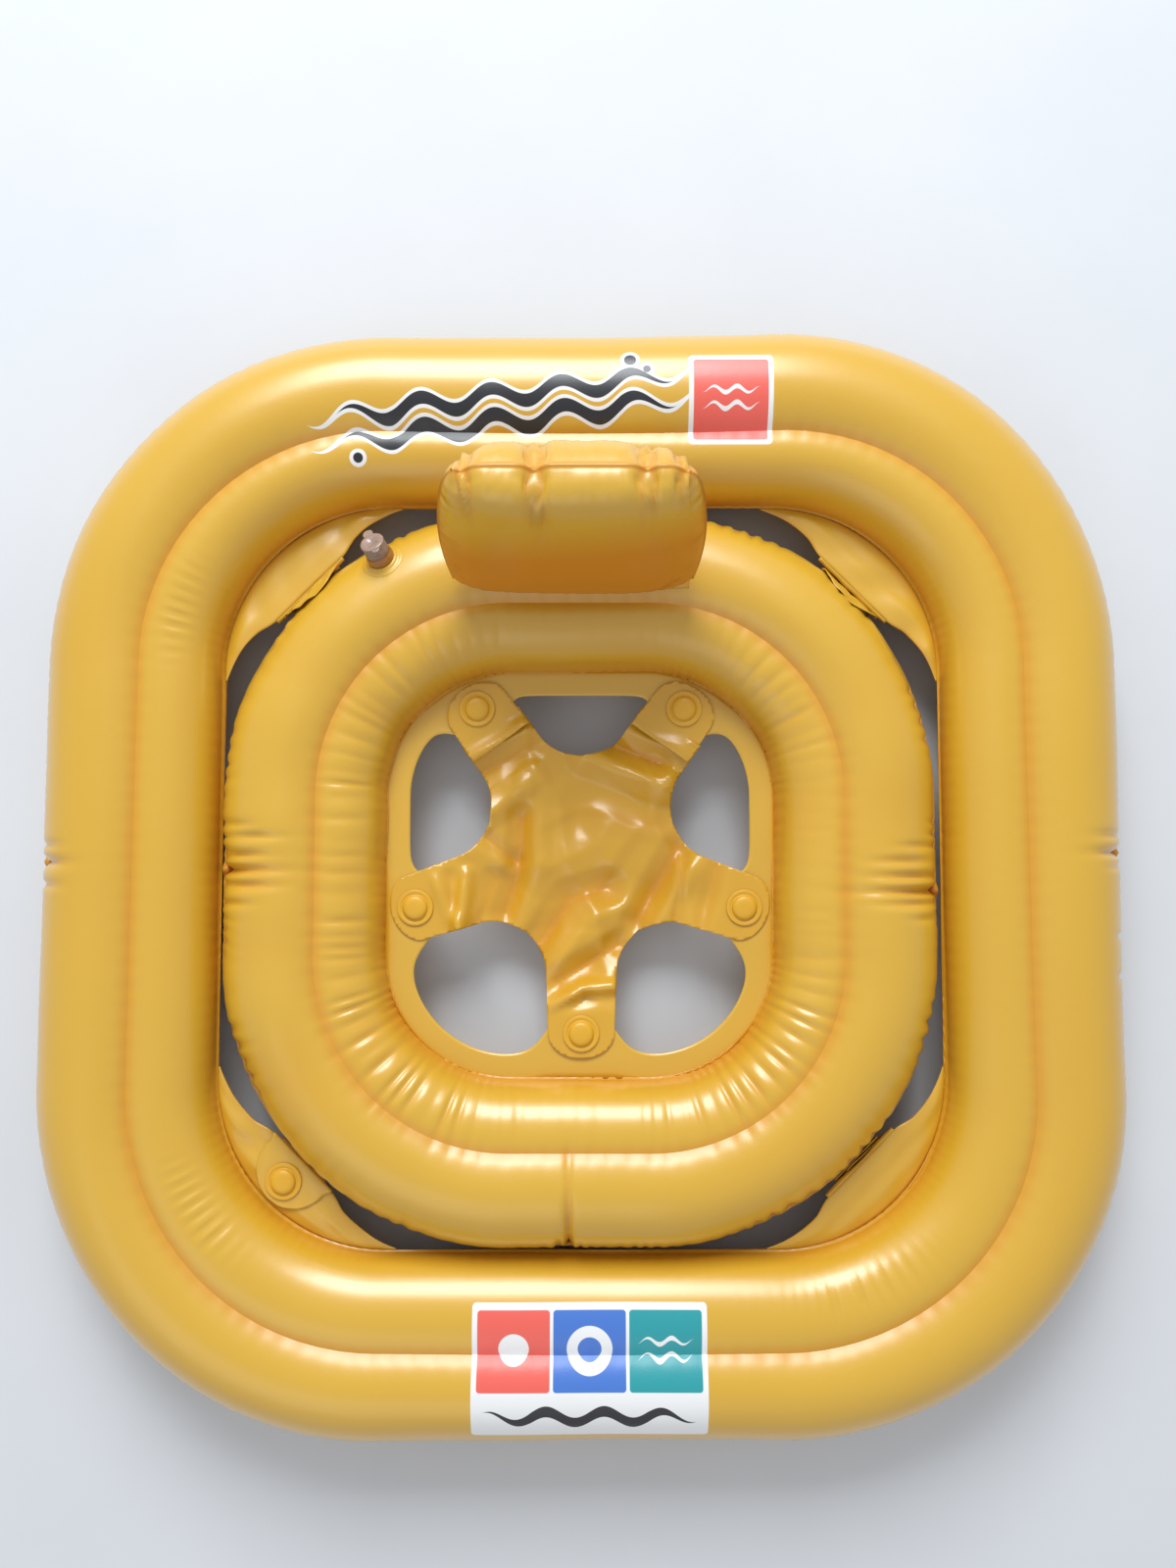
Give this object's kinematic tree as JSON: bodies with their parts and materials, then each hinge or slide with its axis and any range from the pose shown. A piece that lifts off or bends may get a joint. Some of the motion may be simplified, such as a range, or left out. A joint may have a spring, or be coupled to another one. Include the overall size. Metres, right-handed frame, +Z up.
{
  "type": "baby swim float",
  "caption": "Inflatable baby swim float: soft outer ring snapped to an inner ring with sling seat and backrest.",
  "frame": {"origin": "middle of the float at the floor it stands on", "axes": "+Y towards the backrest, +X to the right seen from above with the backrest away from the viewer, +Z up"},
  "size_m": [0.714, 0.728, 0.197],
  "materials": {
    "yellow_film": "satin vinyl film",
    "snap_plastic": "moulded satin",
    "clear_valve": "clear soft vinyl",
    "white_print": "screen printed ink"
  },
  "bodies": {
    "inner_ring": {"backrest_base_hem": "yellow_film", "front_left_snap_stud": "snap_plastic", "front_left_tab": "yellow_film", "front_right_snap_stud": "snap_plastic", "front_right_tab": "yellow_film", "inner_ring_bottom_skin": "yellow_film", "inner_ring_partition": "yellow_film", "inner_ring_top_skin": "yellow_film", "inner_valve_flange": "yellow_film", "rear_left_snap_stud": "snap_plastic", "rear_left_tab": "yellow_film", "rear_right_snap_stud": "snap_plastic", "rear_right_tab": "yellow_film", "seat_front_stud": "snap_plastic", "seat_left_stud": "snap_plastic", "seat_rear_left_stud": "snap_plastic", "seat_rear_right_stud": "snap_plastic", "seat_right_stud": "snap_plastic", "seat_rim": "yellow_film"},
    "backrest": {"backrest_front_sheet": "yellow_film", "backrest_rear_sheet": "yellow_film", "backrest_valve_flange": "yellow_film"},
    "backrest_valve_stem": {"backrest_valve_flap": "clear_valve", "backrest_valve_stem": "clear_valve"},
    "backrest_valve_plug": {"backrest_valve_plug": "clear_valve"},
    "outer_ring": {"front_left_snap_cap": "snap_plastic", "front_left_web": "yellow_film", "front_right_snap_cap": "snap_plastic", "front_right_web": "yellow_film", "outer_ring_bottom_skin": "yellow_film", "outer_ring_partition": "yellow_film", "outer_ring_top_skin": "yellow_film", "outer_valve_flange": "yellow_film", "rear_left_snap_cap": "snap_plastic", "rear_left_web": "yellow_film", "rear_right_snap_cap": "snap_plastic", "rear_right_web": "yellow_film"},
    "inner_valve_stem": {"inner_valve_flap": "clear_valve", "inner_valve_stem": "clear_valve"},
    "inner_valve_plug": {"inner_valve_plug": "clear_valve"},
    "outer_valve_stem": {"outer_valve_flap": "clear_valve", "outer_valve_stem": "clear_valve"},
    "outer_valve_plug": {"outer_valve_plug": "clear_valve"},
    "seat_sling": {"seat_front_cap": "snap_plastic", "seat_left_cap": "snap_plastic", "seat_rear_left_cap": "snap_plastic", "seat_rear_right_cap": "snap_plastic", "seat_right_cap": "snap_plastic", "seat_sling": "yellow_film"}
  },
  "joints": [
    {"name": "outer_ring_lift", "type": "slide", "parent": "inner_ring", "child": "outer_ring", "axis": [0, 0, 1], "range_m": [0, 0.25]},
    {"name": "seat_sling_lift", "type": "slide", "parent": "inner_ring", "child": "seat_sling", "axis": [0, 0, 1], "range_m": [0, 0.15]},
    {"name": "backrest_tilt", "type": "hinge", "parent": "inner_ring", "child": "backrest", "pos_m": [-0.001, 0.187, 0.0862], "axis": [1, 0, 0], "range_deg": [0, 15]},
    {"name": "inner_valve_stem_slide", "type": "slide", "parent": "inner_ring", "child": "inner_valve_stem", "axis": [-0.2749, 0.5064, 0.8173], "range_m": [-0.01, 0]},
    {"name": "inner_valve_plug_hinge", "type": "hinge", "parent": "inner_valve_stem", "child": "inner_valve_plug", "pos_m": [-0.12961, 0.20363, 0.09324], "axis": [0.8789, 0.4771, 0], "range_deg": [0, 140]},
    {"name": "outer_valve_stem_slide", "type": "slide", "parent": "outer_ring", "child": "outer_valve_stem", "axis": [-0.6095, -0.6095, -0.5071], "range_m": [0, 0.01]},
    {"name": "outer_valve_plug_hinge", "type": "hinge", "parent": "outer_valve_stem", "child": "outer_valve_plug", "pos_m": [-0.28512, -0.29212, 0.00991], "axis": [0.7071, -0.7071, 0], "range_deg": [0, 50]},
    {"name": "backrest_valve_stem_slide", "type": "slide", "parent": "backrest", "child": "backrest_valve_stem", "axis": [0, 0.9367, -0.3502], "range_m": [0, 0.01]},
    {"name": "backrest_valve_plug_hinge", "type": "hinge", "parent": "backrest_valve_stem", "child": "backrest_valve_plug", "pos_m": [-0.01, 0.23988, 0.12875], "axis": [0, 0.3502, 0.9367], "range_deg": [0, 50]}
  ]
}
